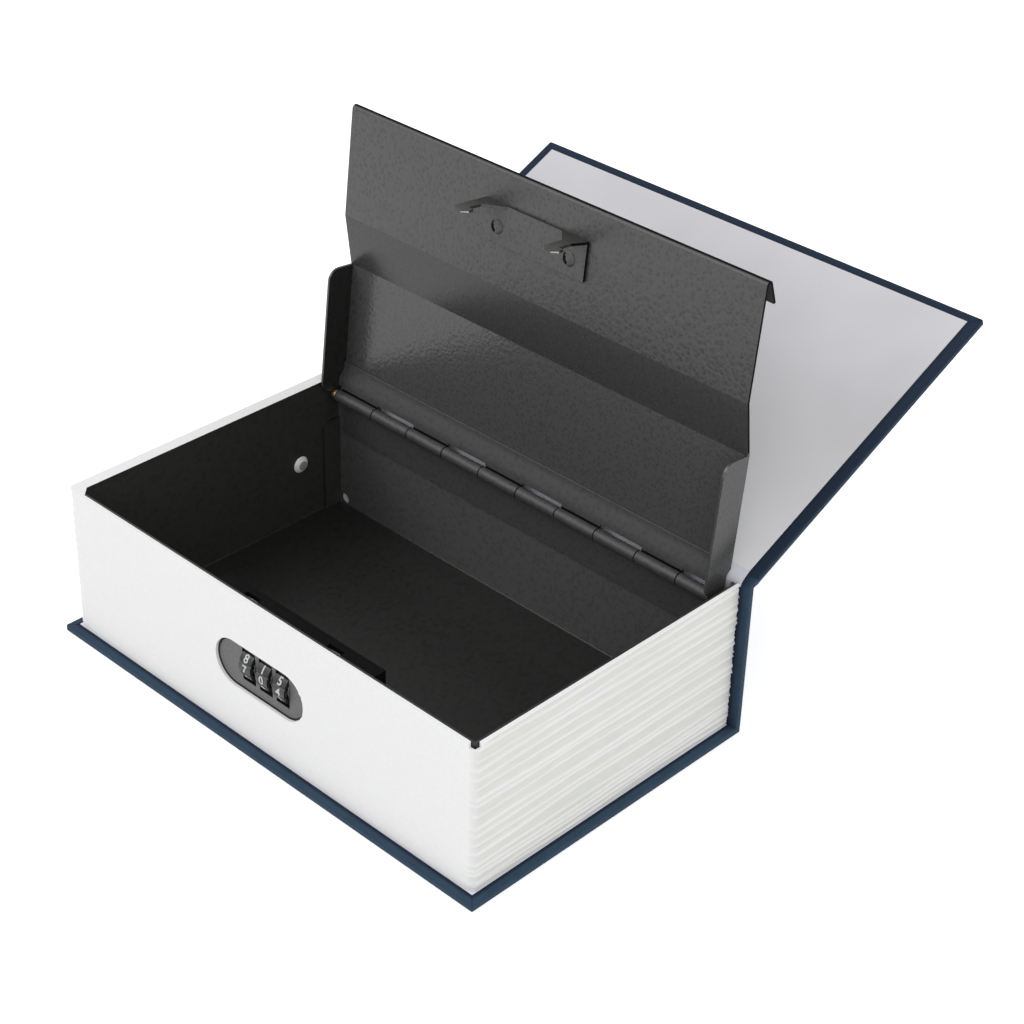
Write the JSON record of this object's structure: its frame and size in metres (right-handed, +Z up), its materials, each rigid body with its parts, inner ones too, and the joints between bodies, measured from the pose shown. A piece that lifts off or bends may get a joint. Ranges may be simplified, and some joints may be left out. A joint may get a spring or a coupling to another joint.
{
  "type": "book safe",
  "caption": "Dummy book with cloth-covered boards round a steel box, whose piano-hinged lid is latched by a combination lock in the fore edge.",
  "frame": {"origin": "middle of the back cover's underside, which lies on the table", "axes": "+X along the fore edge from head to tail, +Y from the fore edge to the spine, +Z up"},
  "size_m": [0.18, 0.2164, 0.1456],
  "materials": {
    "book_cloth": "navy book cloth on greyboard",
    "joint_cloth": "navy book cloth",
    "end_paper": "plain end paper",
    "page_plastic": "white, ridged like page edges",
    "black_enamel": "satin black enamel",
    "hammered_enamel": "dark grey hammered enamel",
    "bracket_enamel": "dark grey enamel",
    "rivet_steel": "bright",
    "hinge_brass": "drawn wire",
    "bright_steel": "zinc plated",
    "lock_grey": "satin grey",
    "lock_case": "satin black enamel",
    "dial_black": "satin black, moulded digits"
  },
  "bodies": {
    "book": {"back_cover": "book_cloth", "back_pastedown": "end_paper", "spine_board": "book_cloth", "spine_lining": "end_paper", "joint_cloth": "joint_cloth", "joint_paper": "end_paper", "page_block": "page_plastic", "tray": "black_enamel", "tray_rivet_left": "rivet_steel", "tray_rivet_right": "rivet_steel", "hinge_leaf_tray": "black_enamel", "hinge_pin": "hinge_brass", "lock_faceplate": "lock_grey", "lock_housing": "lock_case", "lock_back_plate": "lock_case", "lock_screw_1": "bright_steel", "lock_screw_2": "bright_steel", "lock_screw_3": "bright_steel", "lock_screw_4": "bright_steel", "latch_spring": "bright_steel", "detent_spring": "bright_steel"},
    "lid_assembly": {"lid": "hammered_enamel", "hinge_leaf_lid": "hammered_enamel", "latch_bracket": "bracket_enamel", "bracket_rivet_left": "bracket_enamel", "bracket_rivet_right": "bracket_enamel"},
    "cover": {"front_cover": "book_cloth", "front_pastedown": "end_paper"},
    "dial_left": {"dial_1": "dial_black", "cam_sleeve_1": "bright_steel"},
    "dial_middle": {"dial_2": "dial_black", "cam_sleeve_2": "bright_steel"},
    "dial_right": {"dial_3": "dial_black", "cam_sleeve_3": "bright_steel"},
    "latch": {"latch_bar": "bright_steel", "spindle": "bright_steel"},
    "reset": {"reset_lever": "bright_steel"}
  },
  "joints": [
    {"name": "lid_hinge", "type": "hinge", "parent": "book", "child": "lid_assembly", "pos_m": [0, 0.0496, 0.0476], "axis": [1, 0, 0], "range_deg": [0, 96]},
    {"name": "cover_hinge", "type": "hinge", "parent": "book", "child": "cover", "pos_m": [0, 0.0563, 0.0539], "axis": [1, 0, 0], "range_deg": [0, 155.2], "deforming": ["joint_cloth", "joint_paper"]},
    {"name": "dial_left_turn", "type": "hinge", "parent": "book", "child": "dial_left", "pos_m": [-0.0053, -0.0485, 0.0289], "axis": [1, 0, 0], "continuous": true},
    {"name": "dial_middle_turn", "type": "hinge", "parent": "book", "child": "dial_middle", "pos_m": [0.002, -0.0485, 0.0289], "axis": [1, 0, 0], "continuous": true},
    {"name": "dial_right_turn", "type": "hinge", "parent": "book", "child": "dial_right", "pos_m": [0.0093, -0.0485, 0.0289], "axis": [1, 0, 0], "continuous": true},
    {"name": "latch_slide", "type": "slide", "parent": "book", "child": "latch", "axis": [-1, 0, 0], "range_m": [0, 0.0018], "deforming": ["latch_spring"]},
    {"name": "reset_turn", "type": "hinge", "parent": "book", "child": "reset", "pos_m": [0.0221, -0.0346, 0.0232], "axis": [0, 1, 0], "range_deg": [0, 90]}
  ],
  "couplings": [
    {"joint": "cover_hinge", "follows": "lid_hinge", "ratio": 1.6166}
  ]
}
